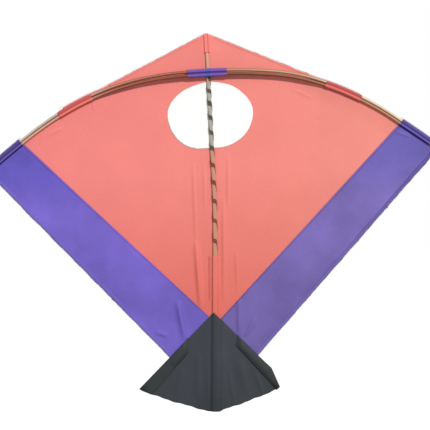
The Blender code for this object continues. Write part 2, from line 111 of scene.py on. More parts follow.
class Nodes:
    """Short calls for the nodes of one material."""

    def __init__(self, name, roughness, specular=0.3):
        self.material = bpy.data.materials.new(name)
        self.material.use_nodes = True
        self.tree = self.material.node_tree
        self.shader = self.tree.nodes["Principled BSDF"]
        self.shader.inputs["Roughness"].default_value = roughness
        self.shader.inputs["Specular IOR Level"].default_value = specular

    def feed(self, socket, value):
        """Sets an input to a constant, or links it to another node's output."""
        if isinstance(value, bpy.types.NodeSocket):
            self.tree.links.new(value, socket)
        else:
            socket.default_value = value

    def node(self, kind, inputs, **values):
        made = self.tree.nodes.new(kind)
        for key, value in values.items():
            setattr(made, key, value)
        for key, value in inputs.items():
            self.feed(made.inputs[key], value)
        return made

    def place(self):
        """Object coordinates, in metres."""
        return self.node("ShaderNodeTexCoord", {}).outputs["Object"]

    def own(self):
        """The mesh's own grain coordinates, as its mesh helper wrote them."""
        return self.node("ShaderNodeAttribute", {}, attribute_name="grain").outputs["Vector"]

    def scaled(self, vector, *scale):
        return self.node("ShaderNodeMapping", {"Vector": vector, "Scale": scale}).outputs["Vector"]

    def noise(self, vector, scale, detail=3.0, roughness=0.55, distortion=0.0):
        made = self.node("ShaderNodeTexNoise", {
            "Vector": vector, "Scale": scale, "Detail": detail, "Roughness": roughness,
            "Distortion": distortion})
        return made.outputs["Fac"]

    def ramp(self, value, stops):
        """stops is a list of (position, colour), where a number stands for a grey."""
        made = self.node("ShaderNodeValToRGB", {"Fac": value})
        elements = made.color_ramp.elements
        elements[1].position, elements[0].position = stops[-1][0], stops[0][0]
        for position, _ in stops[1:-1]:
            elements.new(position)
        for element, (_, tone) in zip(elements, stops):
            element.color = (*(tone if isinstance(tone, tuple) else (tone,) * 3), 1.0)
        return made.outputs["Color"]

    def mix(self, first, second, factor, blend="MIX"):
        made = self.node("ShaderNodeMix", {}, data_type="RGBA", blend_type=blend)
        for word, value in (("Factor", factor), ("A", first), ("B", second)):
            self.feed(made.inputs[word], (*value, 1.0) if isinstance(value, tuple) else value)
        return made.outputs["Result"]

    def times(self, tone, shades, factor=1.0):
        return self.mix(tone, shades, factor, "MULTIPLY")

    def shaded(self, tone, value, stops):
        """A tone multiplied by the shades of a ramp over a value."""
        return self.times(tone, self.ramp(value, stops))

    def bump(self, *heights):
        """Each of the heights is (height output, strength, distance)."""
        for height, strength, distance in heights:
            inputs = {"Height": height, "Strength": strength, "Distance": distance}
            below = self.shader.inputs["Normal"].links
            if below:
                inputs["Normal"] = below[0].from_socket
            self.feed(self.shader.inputs["Normal"], self.node("ShaderNodeBump", inputs).outputs["Normal"])

    def fit(self, value, low, high):
        """0 to 1 while a value goes from low to high."""
        made = self.node("ShaderNodeMapRange", {"Value": value, "From Min": low, "From Max": high})
        return made.outputs["Result"]

    def part(self, vector, axis):
        return self.node("ShaderNodeSeparateXYZ", {"Vector": vector}).outputs[axis]

    def spread(self, axis, low, high):
        """0 to 1 between two places along one object axis."""
        return self.fit(self.part(self.place(), axis), low, high)

    def aside(self, low, high):
        """0 to 1 between two distances from the kite's middle, on either side."""
        size = self.node("ShaderNodeMath", {0: self.part(self.place(), X_AXIS)}, operation="ABSOLUTE")
        return self.fit(size.outputs[0], low, high)

    def grain(self, axis, low, high):
        """0 to 1 along one of the mesh's own grain coordinates."""
        return self.fit(self.part(self.own(), axis), low, high)

    def off_line(self, start, end, low, high):
        """0 to 1 with the distance, low to high, from the line through two (x, z) points."""
        dx, dz = end[0] - start[0], end[1] - start[1]
        length = math.hypot(dx, dz)
        dot = self.node("ShaderNodeVectorMath", {0: self.place(), 1: (dz / length, 0.0, -dx / length)},
                        operation="DOT_PRODUCT")
        base = (start[0] * dz - start[1] * dx) / length
        return self.fit(dot.outputs["Value"], base + low, base + high)

    def near(self, x, z, radius):
        """1 at a place in the plane Y = 0, falling to 0 at a radius from it."""
        away = self.node("ShaderNodeVectorMath", {0: self.place(), 1: (x, 0.0, z)}, operation="DISTANCE")
        return self.fit(away.outputs["Value"], radius, 0.0)

    def finish(self, colour):
        self.feed(self.shader.inputs["Base Color"], colour)


def shade(colour, factor):
    return tuple(min(channel * factor, 1.0) for channel in colour)


def paint(red, green, blue):
    """The linear colour of a surface that shows as this sRGB colour, 0 to 255."""
    linear = [((c / 255 + 0.055) / 1.055) ** 2.4 for c in (red, green, blue)]
    return tuple(channel / LIT for channel in linear)


def painted(*stops):
    """Ramp stops from (position, red, green, blue) of what shows."""
    return [(position, paint(*colour)) for position, *colour in stops]


def paper_material(name, slot, colour, fibre=0.06, cloud=0.05, roughness=0.7, tint=None):
    """Tissue paper: cloudy formation, fine crossing fibres and a soft crinkle.

    tint(nodes, colour output) returns a colour output with the sheet's own shading added.
    """
    nodes = Nodes(name, roughness, 0.35)
    place = nodes.place()
    clouds = nodes.noise(place, scale=17.0, detail=4.0)
    tone = nodes.ramp(clouds, [(0.3, shade(colour, 1 - cloud)), (0.7, shade(colour, 1 + cloud))])
    across, upward = (nodes.noise(nodes.scaled(nodes.place(), *stretch), 420.0, 2.0, 0.6, 0.4)
                      for stretch in ((1.0, 1.0, 6.0), (6.0, 1.0, 1.0)))
    fibres = nodes.mix(across, upward, 0.5)
    tone = nodes.shaded(tone, fibres, [(0.35, 1 - fibre), (0.65, 1 + fibre)])
    nodes.finish(tint(nodes, tone) if tint else tone)
    crinkle = nodes.noise(place, scale=110.0, roughness=0.5)
    nodes.bump((crinkle, 0.3, 0.0008), (fibres, 0.2, 0.0001))
    return nodes.material, slot


def bamboo_material(name, length_tones, painted_shade_tones, spread):
    """Split bamboo: long fibres, darker streaks and satin skin.

    length_tones are (place from 0 to 1, colour) over spread, an (axis, low, high). The girth tones are
    painted
    shade and highlight round a splint, (place from the inner to the outer side, shade): painted shade in
    the groove between the splints and along their edges, a painted highlight on the front. They fade
    towards the bow's thin ends.
    """
    nodes = Nodes(name, 0.46, 0.25)
    base = nodes.ramp(nodes.spread(*spread), length_tones)
    # painted shade and highlight round each splint, faded out towards the bow's thin ends
    painted_girth_shade = nodes.ramp(nodes.grain(OUTWARD, -1.0, 1.0), painted_shade_tones)
    thin = nodes.ramp(nodes.aside(0.12, 0.19), [(0.0, 0.0), (1.0, 0.62)])
    painted_girth_shade = nodes.mix(painted_girth_shade, (0.92, 0.88, 0.84), thin)
    fibres = nodes.noise(nodes.scaled(nodes.own(), 14.0, 900.0, 900.0), 1.0, 4.0, 0.65)
    streaks = nodes.noise(nodes.scaled(nodes.own(), 9.0, 230.0, 230.0), 1.0, 2.0, 0.5)
    fine = nodes.ramp(fibres, [(0.28, (0.8, 0.77, 0.74)), (0.72, (1.16, 1.17, 1.18))])
    colour = nodes.times(nodes.times(base, painted_girth_shade), fine, 0.8)
    nodes.finish(nodes.shaded(colour, streaks, [(0.35, (0.9, 0.88, 0.86)), (0.65, 1.07)]))
    nodes.bump((fibres, 0.35, 0.00015))
    return nodes.material, "bamboo"


LATH_SPREAD = (Z_AXIS, -0.3, 0.04)  # over the part of the lath that shows
BOW_SPREAD = (X_AXIS, -0.24, 0.24)


def thread_material(name, slot, stops):
    """Cotton thread: short slanted fibres and a soft sheen; stops are its tones up the kite."""
    nodes = Nodes(name, 0.85, 0.2)
    base = nodes.ramp(nodes.spread(*LATH_SPREAD), stops)
    fibres = nodes.noise(nodes.scaled(nodes.own(), 900.0, 1800.0, 1800.0), 1.0, 2.0, 0.6)
    nodes.finish(nodes.shaded(base, fibres, [(0.3, 0.7), (0.7, 1.3)]))
    nodes.bump((fibres, 0.3, 0.0001))
    nodes.shader.inputs["Sheen Weight"].default_value = 0.2
    return nodes.material, slot


SEAM_CORNER = (-0.0059, -0.2998)
SEAM_TOP = (0.2235, -0.0768)  # for the right side; the left one's x is negative
FAN_RIDGE_LINE = ((-0.0072, -0.29), (-0.0136, -0.401))
FAN_DARK_CORNERS = ((-0.101, -0.374), (0.065, -0.379))
FAN_DARK_FOOT = (-0.0125, -0.4)


def coral_tint(nodes, tone):
    """A little pinker to the left, warmer to the right, and deeper towards the tail."""
    tone = nodes.shaded(tone, nodes.spread(X_AXIS, -0.2, 0.2), [
        (0.0, (1.0, 0.95, 1.0)), (0.5, (1.0, 1.0, 0.98)), (1.0, (1.0, 1.12, 1.05))])
    return nodes.shaded(tone, nodes.spread(Z_AXIS, -0.3, -0.12), [(0.0, (0.8, 0.6, 0.54)), (1.0, 1.0)])


def purple_tint(side):
    """Deeper where the strip laps the coral panel, with a thin pinkish line along the seam."""
    warm = (1.06, 1.12, 0.84) if side > 0 else (0.98, 0.97, 1.03)
    foot = shade(warm, 0.8 if side > 0 else 0.92)
    tip = (warm[0] * 0.74, warm[1] * 0.8, warm[2] * 0.94)

    def tint(nodes, tone):
        off = nodes.off_line(SEAM_CORNER, (side * SEAM_TOP[0], SEAM_TOP[1]), 0.0, side * 0.003)
        tone = nodes.shaded(tone, off, [(0.1, (1.45, 1.05, 0.85)), (0.26, (0.74, 0.52, 0.66)),
                                        (0.46, (0.76, 0.64, 0.78)), (0.66, 1.0)])
        return nodes.shaded(tone, nodes.spread(Z_AXIS, -0.34, -0.11), [
            (0.0, foot), (0.35, foot), (0.6, warm), (0.8, warm), (1.0, tip)])

    return tint


def over_bow_tint(top, groove, low, painted_shade_line):
    """Paper over the two splints: tones for the upper and lower one, painted shade in the groove between
    them, and a painted shadow line below.
    """
    def tint(nodes, tone):
        # from below: painted shadow line, lower splint, painted shade in the groove, upper splint
        return nodes.shaded(tone, nodes.grain(ROUND, -1.6, 1.2), [
            (0.08, 1.0), (0.14, painted_shade_line), (0.22, painted_shade_line), (0.3, low), (0.42, low), (0.53, groove),
            (0.61, groove), (0.71, top), (0.95, top)])

    return tint


def wrap_tint(nodes, tone):
    """Bluer over the lashing in the middle, thinner and warmer at its ends; painted shade in its groove
    and below it.
    """
    # painted shade in the groove between the splints and a painted shadow line below them
    over_splints = over_bow_tint((0.95, 1.05, 0.98), (0.2, 0.3, 0.55), (1.0, 1.05, 1.0), (0.4, 0.3, 0.45))
    return nodes.shaded(over_splints(nodes, tone), nodes.grain(ALONG, 0.0, 0.025), [
        (0.0, (0.42, 1.0, 1.0)), (0.18, (0.8, 1.0, 1.0)), (0.6, 1.0), (1.0, (1.12, 1.0, 0.72))])


def hem_tint(nodes, tone):
    """The lower hems: duller on the right side, and darker towards its tip."""
    return nodes.shaded(tone, nodes.spread(X_AXIS, -0.02, 0.25), [
        (0.0, 1.0), (0.15, (1.0, 1.06, 0.84)), (0.66, (0.96, 1.02, 0.8)), (0.92, (0.76, 0.8, 0.68))])


def strip_tint(nodes, tone):
    """Coral paper over the lath: painted light on its shaded left wall, and a thin painted shade line
    along its right side.
    """
    # painted light on the lath's left wall, where it lies in shade, and a painted shade line on its right
    # wall
    painted_wall_light, painted_shade_line = (1.55, 1.35, 1.35), (0.72, 0.42, 0.44)
    return nodes.shaded(tone, nodes.grain(ALONG, -0.004, 0.004), [
        (0.16, 1.0), (0.2, painted_wall_light), (0.28, painted_wall_light), (0.33, 1.0),
        (0.62, 1.0), (0.67, painted_shade_line), (0.71, painted_shade_line), (0.76, 1.0)])


def fan_tint(nodes, tone):
    """Painted shade beside the ridge, darkest left of it; also darker at the foot, towards both sides
    and at both lower corners, where the folds lie.
    """
    # painted shade along the ridge, on its side away from the sun
    tone = nodes.shaded(tone, nodes.off_line(*FAN_RIDGE_LINE, -0.012, 0.012), [
        (0.1, 1.0), (0.42, (0.86, 0.9, 0.86)), (0.58, (0.8, 0.84, 0.8)), (0.64, 1.0), (0.9, 1.0)])
    for corner in FAN_DARK_CORNERS:
        tone = nodes.shaded(tone, nodes.near(*corner, 0.016), [(0.25, 1.0), (0.8, 0.42)])
    tone = nodes.shaded(tone, nodes.spread(X_AXIS, -0.09, 0.06), [
        (0.0, (0.8, 0.86, 0.82)), (0.35, (1.0, 1.0, 1.05)), (0.75, (1.0, 1.0, 1.02)),
        (1.0, (0.84, 0.88, 0.86))])
    return nodes.shaded(tone, nodes.near(*FAN_DARK_FOOT, 0.04), [(0.0, 1.0), (1.0, (0.72, 0.76, 0.72))])


def coral_paper(name, cloud, tint):
    return paper_material(name, "coral_paper", paint(241, 134, 126), cloud=cloud, tint=tint)


def purple_paper(name, cloud, tint, factor=1.0):
    tone = shade(paint(116, 97, 192), factor)
    return paper_material(name, "purple_paper", tone, cloud=cloud, tint=tint)


def charcoal_paper(name, cloud, tone):
    return paper_material(name, "charcoal_paper", tone, 0.1, cloud, 0.62, fan_tint)


CORAL = coral_paper("coral_tissue", 0.035, coral_tint)
# paper over the bow, with painted shade in the groove between the splints and a painted shadow line below
# them
CORAL_OVER_BOW = coral_paper("coral_tissue_over_bow", 0.08, over_bow_tint(
    (0.66, 0.42, 0.44), (0.55, 0.32, 0.31), (0.95, 0.82, 0.78), (0.66, 0.4, 0.37)))
# paper over the nose, with painted light and a painted shade line on the lath's walls
CORAL_OVER_NOSE = coral_paper("coral_tissue_over_nose", 0.035, strip_tint)
PURPLE_LEFT = purple_paper("purple_tissue_left", 0.17, purple_tint(-1))
PURPLE_RIGHT = purple_paper("purple_tissue_right", 0.17, purple_tint(1))
# paper over the bow, with painted shade in the groove between the splints and a painted shadow line below
# them
PURPLE_OVER_BOW = purple_paper("purple_tissue_over_bow", 0.1, over_bow_tint(
    (0.52, 0.5, 0.46), (0.26, 0.18, 0.36), (0.8, 0.85, 0.85), (0.1, 0.05, 0.26)))
PURPLE_HEM = purple_paper("purple_tissue_hem", 0.1, hem_tint, 0.9)
WHITE = paper_material("white_tissue", "white_paper", (0.965, 0.965, 0.93), 0.015, 0.01)
CHARCOAL = charcoal_paper("charcoal_tissue", 0.08, paint(52, 56, 62))
CHARCOAL_HEM = charcoal_paper("charcoal_tissue_hem", 0.1, paint(45, 50, 52))
WRAP = paper_material("blue_purple_tissue", "wrap_paper", paint(128, 84, 176), 0.07, 0.1, tint=wrap_tint)
# The bow's splints. Along the bow: paler towards both tips; the lower splint darker than the upper one,
# most on the right limb, and the upper splint's left limb darker than its right one, partly painted shade
# and light of the sun from the right. Round each splint: painted shade in the groove and along the edges,
# and a painted highlight on the front.
UPPER_BAMBOO = bamboo_material(
    "bamboo_upper",
    painted((0.05, 214, 200, 186), (0.16, 206, 184, 164), (0.27, 196, 134, 108), (0.42, 172, 100, 78),
            (0.56, 196, 146, 112), (0.75, 208, 168, 132), (0.88, 240, 214, 184)),
    [(0.0, 0.3), (0.28, 0.66), (0.52, 1.1), (0.7, 1.05), (0.86, 0.56), (1.0, 0.34)], BOW_SPREAD)
LOWER_BAMBOO = bamboo_material(
    "bamboo_lower",
    painted((0.05, 226, 184, 160), (0.14, 220, 166, 146), (0.27, 172, 104, 80), (0.42, 152, 80, 60),
            (0.56, 140, 80, 56), (0.75, 166, 106, 76), (0.9, 204, 146, 114)),
    [(0.0, 0.42), (0.16, 0.6), (0.4, 1.02), (0.6, 1.05), (0.82, 0.62), (1.0, 0.32)], BOW_SPREAD)
LATH_BAMBOO = bamboo_material(
    "bamboo_lath",
    painted((0.0, 204, 150, 122), (0.59, 204, 146, 118), (0.63, 172, 166, 154), (0.83, 176, 174, 164),
            (0.86, 196, 158, 132), (1.0, 228, 178, 148)),
    [(0.0, 1.0), (1.0, 1.0)], LATH_SPREAD)
THREAD_DARK = thread_material("thread_dark", "dark_thread", painted(
    (0.0, 132, 78, 58), (0.59, 132, 78, 58), (0.63, 96, 90, 80), (0.86, 92, 88, 80), (1.0, 96, 80, 66)))
THREAD_PALE = thread_material("thread_pale", "pale_thread", painted(
    (0.0, 206, 198, 196), (1.0, 206, 198, 196)))


# Mesh helpers

def finish_piece(name, mesh, looks, node):
    """Puts a finished mesh in the scene, on the one body, standing for its CAD node."""
    material, slot = looks
    piece = bpy.data.objects.new(name, mesh)
    bpy.context.scene.collection.objects.link(piece)
    mesh.materials.append(material)
    mesh.shade_smooth()
    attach(piece, "root")
    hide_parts(node)
    return piece


def thicken(piece):
    """Gives a sheet the paper's thickness, so that it is one closed thin solid."""
    solid = piece.modifiers.new("Thickness", "SOLIDIFY")
    solid.thickness = PAPER
    solid.offset = 0.0


def new_mesh(name, points, faces, grain=None):
    mesh = bpy.data.meshes.new(name)
    mesh.from_pydata(points, [], faces)
    if grain:
        attribute = mesh.attributes.new("grain", "FLOAT_VECTOR", "POINT")
        attribute.data.foreach_set("vector", [value for entry in grain for value in entry])
    return mesh


def between(start, end, share):
    return (start[0] + (end[0] - start[0]) * share, start[1] + (end[1] - start[1]) * share)


def shifted(point, direction, distance):
    return (point[0] + direction[0] * distance, point[1] + direction[1] * distance)


def sides_of(loop):
    return zip(loop, loop[1:] + loop[:1])


def resample(loop, spacing):
    """Points at an even spacing round a closed outline, its corners kept."""
    points = []
    for start, end in sides_of(loop):
        steps = max(1, round(math.dist(start, end) / spacing))
        points += [between(start, end, i / steps) for i in range(steps)]
    return points


def inside_loop(x, z, loop):
    """Which of the points are inside a closed outline."""
    found = np.zeros(len(x), dtype=bool)
    for (x0, z0), (x1, z1) in sides_of(loop):
        if z0 != z1:
            crosses = (z0 > z) != (z1 > z)
            found ^= crosses & (x < (x1 - x0) * (z - z0) / (z1 - z0) + x0)
    return found


def node_outline(node):
    """The outline loops of a flat CAD sheet, longest first, as (x, z) points."""
    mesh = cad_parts[node].data
    front = min(vertex.co.y for vertex in mesh.vertices)
    edges = {}
    for face in mesh.polygons:
        corners = [mesh.vertices[v].co for v in face.vertices]
        if all(corner.y < front + 1e-5 for corner in corners):
            for a, b in sides_of([(round(corner.x, 6), round(corner.z, 6)) for corner in corners]):
                key = tuple(sorted((a, b)))
                edges[key] = None if key in edges else (a, b)
    following = dict(pair for pair in edges.values() if pair)
    loops = []
    while following:
        loop, here = [], next(iter(following))
        while here in following:
            loop.append(here)
            here = following.pop(here)
        loops.append(loop)
    return sorted(loops, key=lambda loop: -sum(math.dist(a, b) for a, b in zip(loop, loop[1:])))


def sheet_area(loop):
    return abs(sum(a[0] * b[1] - b[0] * a[1] for a, b in sides_of(loop))) / 2


def sheet_mesh(name, outline, level, spacing, hole=None):
    """A fine mesh of a sheet inside an outline, with the level of every point along Y."""
    loops = [resample(loop, spacing) for loop in (outline, hole) if loop]
    rim = loops[0]
    fixed, edges = [], []
    for loop in loops:
        first = len(fixed)
        fixed += loop
        edges += [(first + i, first + (i + 1) % len(loop)) for i in range(len(loop))]
    low, high = np.min(rim, axis=0), np.max(rim, axis=0)
    row_step = spacing * 0.866  # rows of even-sided triangles
    rows = np.arange(low[1], high[1], row_step)
    columns = np.arange(low[0], high[0], spacing)
    x = (columns[None, :] + (np.arange(len(rows)) % 2)[:, None] * spacing / 2).ravel()
    z = np.repeat(rows, len(columns))
    keep = inside_loop(x, z, rim)
    if hole:
        keep &= ~inside_loop(x, z, loops[1])
    x, z = x[keep], z[keep]
    border = np.array(fixed)
    clear = np.ones(len(x), dtype=bool)
    batch = 4000
    nearest = 0.55 * spacing  # that a point inside may come to the border
    for start in range(0, len(x), batch):
        part = slice(start, start + batch)
        dx = x[part, None] - border[None, :, 0]
        dz = z[part, None] - border[None, :, 1]
        clear[part] = (dx * dx + dz * dz).min(axis=1) > nearest**2
    points = [Vector(point) for point in fixed] + [Vector(p) for p in zip(x[clear], z[clear])]
    verts, _, faces, _, _, _ = delaunay_2d_cdt(points, edges, [], 1, 1e-7)
    flat = np.array([(v.x, v.y) for v in verts])
    if hole:
        centres = np.array([flat[list(face)].mean(axis=0) for face in faces])
        in_hole = inside_loop(centres[:, 0], centres[:, 1], loops[1])
        faces = [face for face, hidden in zip(faces, in_hole) if not hidden]
    depth = level(flat[:, 0], flat[:, 1])
    mesh = new_mesh(name, [(px, py, pz) for (px, pz), py in zip(flat, depth)], faces)
    if mesh.polygons[0].normal.y > 0:
        mesh.flip_normals()
    return mesh


def sweep_mesh(name, centres, across, outward, ring, closed=False):
    """A solid rod: ring(i) gives the section at each centre as (across, outward) offsets.

    Also writes the grain coordinates that the materials read: metres along, metres round, and
    from -1 on the inner side to 1 on the outer one.
    """
    points, grain = [], []
    length = 0.0
    for i, centre in enumerate(centres):
        if i:
            length += (Vector(centre) - Vector(centres[i - 1])).length
        section = ring(i)
        round_way = 0.0
        deepest = max(abs(b) for _, b in section)
        for j, (a, b) in enumerate(section):
            points.append(tuple(Vector(centre) + Vector(across[i]) * a + Vector(outward[i]) * b))
            if j:
                round_way += math.dist(section[j], section[j - 1])
            grain.append((length, round_way, b / deepest))
    count, sides = len(centres), len(section)
    faces = []
    for i in range(count if closed else count - 1):
        follow = (i + 1) % count
        for j in range(sides):
            k = (j + 1) % sides
            faces.append((i * sides + j, i * sides + k, follow * sides + k, follow * sides + j))
    if not closed:
        faces.append(tuple(range(sides))[::-1])
        faces.append(tuple((count - 1) * sides + j for j in range(sides)))
    return new_mesh(name, points, faces, grain)


def join_meshes(name, meshes):
    """One mesh from several, their grain kept."""
    points, faces, grain = [], [], []
    for mesh in meshes:
        first = len(points)
        points += [tuple(vertex.co) for vertex in mesh.vertices]
        faces += [tuple(first + v for v in face.vertices) for face in mesh.polygons]
        grain += [tuple(entry.vector) for entry in mesh.attributes["grain"].data]
        bpy.data.meshes.remove(mesh)
    return new_mesh(name, points, faces, grain)


def turns(count):
    """Angles at an even spacing round one turn."""
    return [2 * math.pi * i / count for i in range(count)]


def squared(value, power):
    """A sine or cosine pushed towards 1 or -1, which makes a circle squarer."""
    return math.copysign(abs(value) ** power, value)


def oval(count, half, deep, power=1.0):
    """Points round an oval, squarer with a power under 1."""
    return [(squared(math.cos(angle), power) * half, squared(math.sin(angle), power) * deep)
            for angle in turns(count)]


# The CAD's shape laws

def bow_curve(count=801):
    share = np.linspace(0.0, 1.0, count)
    slope = BOW_END_ANGLE * np.sin(math.pi / 2 * share**BOW_BEND_START) ** 2
    middle = (slope[1:] + slope[:-1]) / 2
    step = BOW_HALF_LENGTH / (count - 1)
    x = np.concatenate([[0.0], np.cumsum(np.cos(middle)) * step])
    z = -np.concatenate([[0.0], np.cumsum(np.sin(middle)) * step])
    return x, z, slope, share


BOW_X, BOW_Z, BOW_SLOPE, BOW_SHARE = bow_curve()


def smooth(value, low, high):
    share = np.clip((value - low) / (high - low), 0.0, 1.0)
    return share * share * (3 - 2 * share)


def bow_height(x):
    """The bow's height, with the rise of its right limb."""
    limb = smooth(x, 0.055, 0.11) * (1 - smooth(x, 0.2, 0.235))
    return np.interp(np.abs(x), BOW_X, BOW_Z) + LIMB_RISE * limb


def bow_section(reach):
    """Level along Y and splint radius of the bow at a distance from the middle."""
    share = np.interp(reach, BOW_X, BOW_SHARE)
    radius = SPLINT_RADIUS + (SPLINT_TIP_RADIUS - SPLINT_RADIUS) * share
    return BOW_MIDDLE_LEVEL + (BOW_TIP_LEVEL - BOW_MIDDLE_LEVEL) * share**1.5, radius


def bow_at(x):
    """Place, outward direction, level along Y and splint radius of the bow at a signed x."""
    slope = np.interp(abs(x), BOW_X, BOW_SLOPE)
    lean = math.sin(slope) if x >= 0 else -math.sin(slope)
    return (x, float(bow_height(x))), (lean, math.cos(slope)), *bow_section(abs(x))


def spine_x(z):
    if z > DRIFT_START:
        return 0.0
    return -DRIFT_AT_FOOT * ((DRIFT_START - z) / (DRIFT_START - SPINE_FOOT)) ** DRIFT_POWER


def off_spine(x, z):
    return x - np.array([spine_x(height) for height in z])


# Folds and slack of the paper, shared by every sheet so that they never cross

FOLDS = [  # start x, z, end x, z, half width, height towards the frame side
    (-0.0235, -0.104, -0.0254, -0.205, 0.00126, 0.00136),
    (-0.0254, -0.2, -0.0236, -0.28, 0.00273, 0.0034),
    (-0.0107, -0.107, -0.0122, -0.165, 0.00116, 0.00099),
    (0.019, -0.096, 0.0154, -0.165, 0.00168, 0.00126),
    (0.0105, -0.15, 0.0047, -0.275, 0.00178, 0.00181),
    (0.0224, -0.212, 0.0213, -0.262, 0.00136, 0.00116),
    (-0.051, -0.27, -0.044, -0.318, 0.00357, 0.00384),
    (-0.08, -0.306, -0.064, -0.312, 0.00231, 0.00181),
    (0.0227, -0.272, 0.021, -0.316, 0.00273, 0.00248),
    (0.0422, -0.296, 0.027, -0.318, 0.0021, 0.00202),
    (-0.139, -0.026, -0.14, -0.036, 0.00084, 0.00112),
    (-0.195, -0.064, -0.178, -0.056, 0.00126, 0.00126),
    (0.1, -0.024, 0.123, -0.036, 0.00105, 0.00081),
    (0.22, -0.081, 0.24, -0.09, 0.00126, 0.00112),
    (0.145, -0.045, 0.13, -0.062, 0.00126, 0.00071),
]
FAN_FOLDS = [  # the same for the fan
    (-0.002, -0.33, -0.0045, -0.385, 0.0011, 0.00059),
    (0.0015, -0.326, -0.0005, -0.372, 0.0013, 0.00051),
    (-0.03, -0.335, -0.033, -0.39, 0.004, 0.00085),
    (0.02, -0.345, 0.026, -0.39, 0.005, 0.00076),
    (-0.018, -0.345, -0.021, -0.392, 0.0016, 0.00051),
    (-0.048, -0.352, -0.06, -0.384, 0.003, 0.00068),
    (0.006, -0.352, 0.01, -0.398, 0.0022, 0.00051),
    (0.038, -0.362, 0.045, -0.386, 0.0022, 0.00059),
]


def folded(x, z, folds):
    """How far a list of folds raises a sheet at its points."""
    total = np.zeros(len(x))
    for x0, z0, x1, z1, width, height in folds:
        dx, dz = x1 - x0, z1 - z0
        length = math.hypot(dx, dz)
        along = ((x - x0) * dx + (z - z0) * dz) / length**2
        square = ((x - x0) * dz - (z - z0) * dx) / length
        taper = np.sin(math.pi * np.clip(along, 0.0, 1.0)) ** 0.6
        total += height * taper * np.exp(-((square / width) ** 2))
    return total


def rippled(x, z, across, upward, seed):
    return np.array([noise.noise((px * across, pz * upward, seed)) for px, pz in zip(x, z)])


def drawn_in(x, z):
    """How far the paper is drawn forward to the lath, and to the bow near its ends."""
    closer = 0.0004 * smooth(-z, 0.218, 0.235) + 0.0008 * smooth(z, 0.01, 0.03)
    to_lath = (0.001 + closer) * np.exp(-((off_spine(x, z) / 0.014) ** 2))
    reach = np.abs(x)
    level, radius = bow_section(reach)
    gap = np.maximum(FRONT_SHEET - (level + radius + 0.0004), 0.0)
    near = np.exp(-(((z - bow_height(x)) / 0.018) ** 2))
    return -(to_lath + gap * smooth(reach, 0.105, 0.15) * near)


def slack(x, z):
    """How far the stretched paper leaves its flat level, along Y."""
    ripples = rippled(x, z, 22, 9, 0.3) * 0.00035 + rippled(x, z, 60, 35, 4.7) * 0.0001
    free = np.clip((np.abs(off_spine(x, z)) - 0.004) / 0.012, 0.0, 1.0)
    return ripples * free - folded(x, z, FOLDS) * np.clip(free * 3, 0, 1) + drawn_in(x, z)


def slack_at(x, z):
    return float(slack(np.array([x]), np.array([z]))[0])


# The sheets

def cut_sheet(name, node, outline, hole, level, spacing, looks):
    """A paper sheet cut to an outline, with level(x, z) as its place along Y."""
    piece = finish_piece(name, sheet_mesh(name, outline, level, spacing, hole), looks, node)
    thicken(piece)
    area = sheet_area(outline) - (sheet_area(hole) if hole else 0.0)


def flat_sheet(name, node, level, looks, warp=None):
    """A paper sheet inside its CAD node's outline, which warp(outline) may change."""
    loops = node_outline(node)
    outline = warp(loops[0]) if warp else loops[0]
    hole = loops[1] if len(loops) > 1 else None
    cut_sheet(name, node, outline, hole, lambda x, z: level + slack(x, z), SHEET_SPACING, looks)


def under_bow(loop):
    """The coral panel's outline: its edge is hidden behind the bow between tab and sleeve."""
    cut = []
    for x, z in resample(loop, OUTLINE_SPACING):
        rise = z - bow_height(x)
        if rise > -0.001:
            bare = smooth(abs(x), TAB_SPAN[1] - 0.006, TAB_SPAN[1] + 0.001)
            z -= bare * max(0.0, rise - 0.0016)
        cut.append((x, z))
    return cut


OVAL_BULGES = (  # angle, width in radians, size
    (-2.25, 0.42, 0.0027), (-0.85, 0.4, 0.001), (2.35, 0.5, -0.0009), (0.85, 0.35, 0.0008))
OVAL_BOTTOM = MOON_CENTRE[1] - 0.0396
OVAL_BOTTOM_TILT = 0.0106


def hand_cut(loop):
    """The white oval's outline, cut by hand: fuller at its lower left and flat along its bottom."""
    cut = []
    for x, z in resample(loop, OUTLINE_SPACING):
        angle = math.atan2(z - MOON_CENTRE[1], x - MOON_CENTRE[0])
        shift = 0.0003 * math.sin(5 * angle + 0.6) + 0.0002 * math.sin(9 * angle)
        for place, width, size in OVAL_BULGES:
            away = math.remainder(angle - place, 2 * math.pi)
            shift += size * math.exp(-((away / width) ** 2))
        x += shift * math.cos(angle)
        z += shift * math.sin(angle)
        cut.append((x, max(z, OVAL_BOTTOM - OVAL_BOTTOM_TILT * (x - MOON_CENTRE[0]))))
    return cut


flat_sheet("coral_sail", "sail_main_panel", BACK_SHEET, CORAL, under_bow)
flat_sheet("white_oval", "moon_disc", FRONT_SHEET, WHITE, hand_cut)
for word, purple in (("left", PURPLE_LEFT), ("right", PURPLE_RIGHT)):
    flat_sheet(f"purple_{word}", f"side_strip_{word}", FRONT_SHEET, purple)


# Bamboo

ROD_SIDES = 20


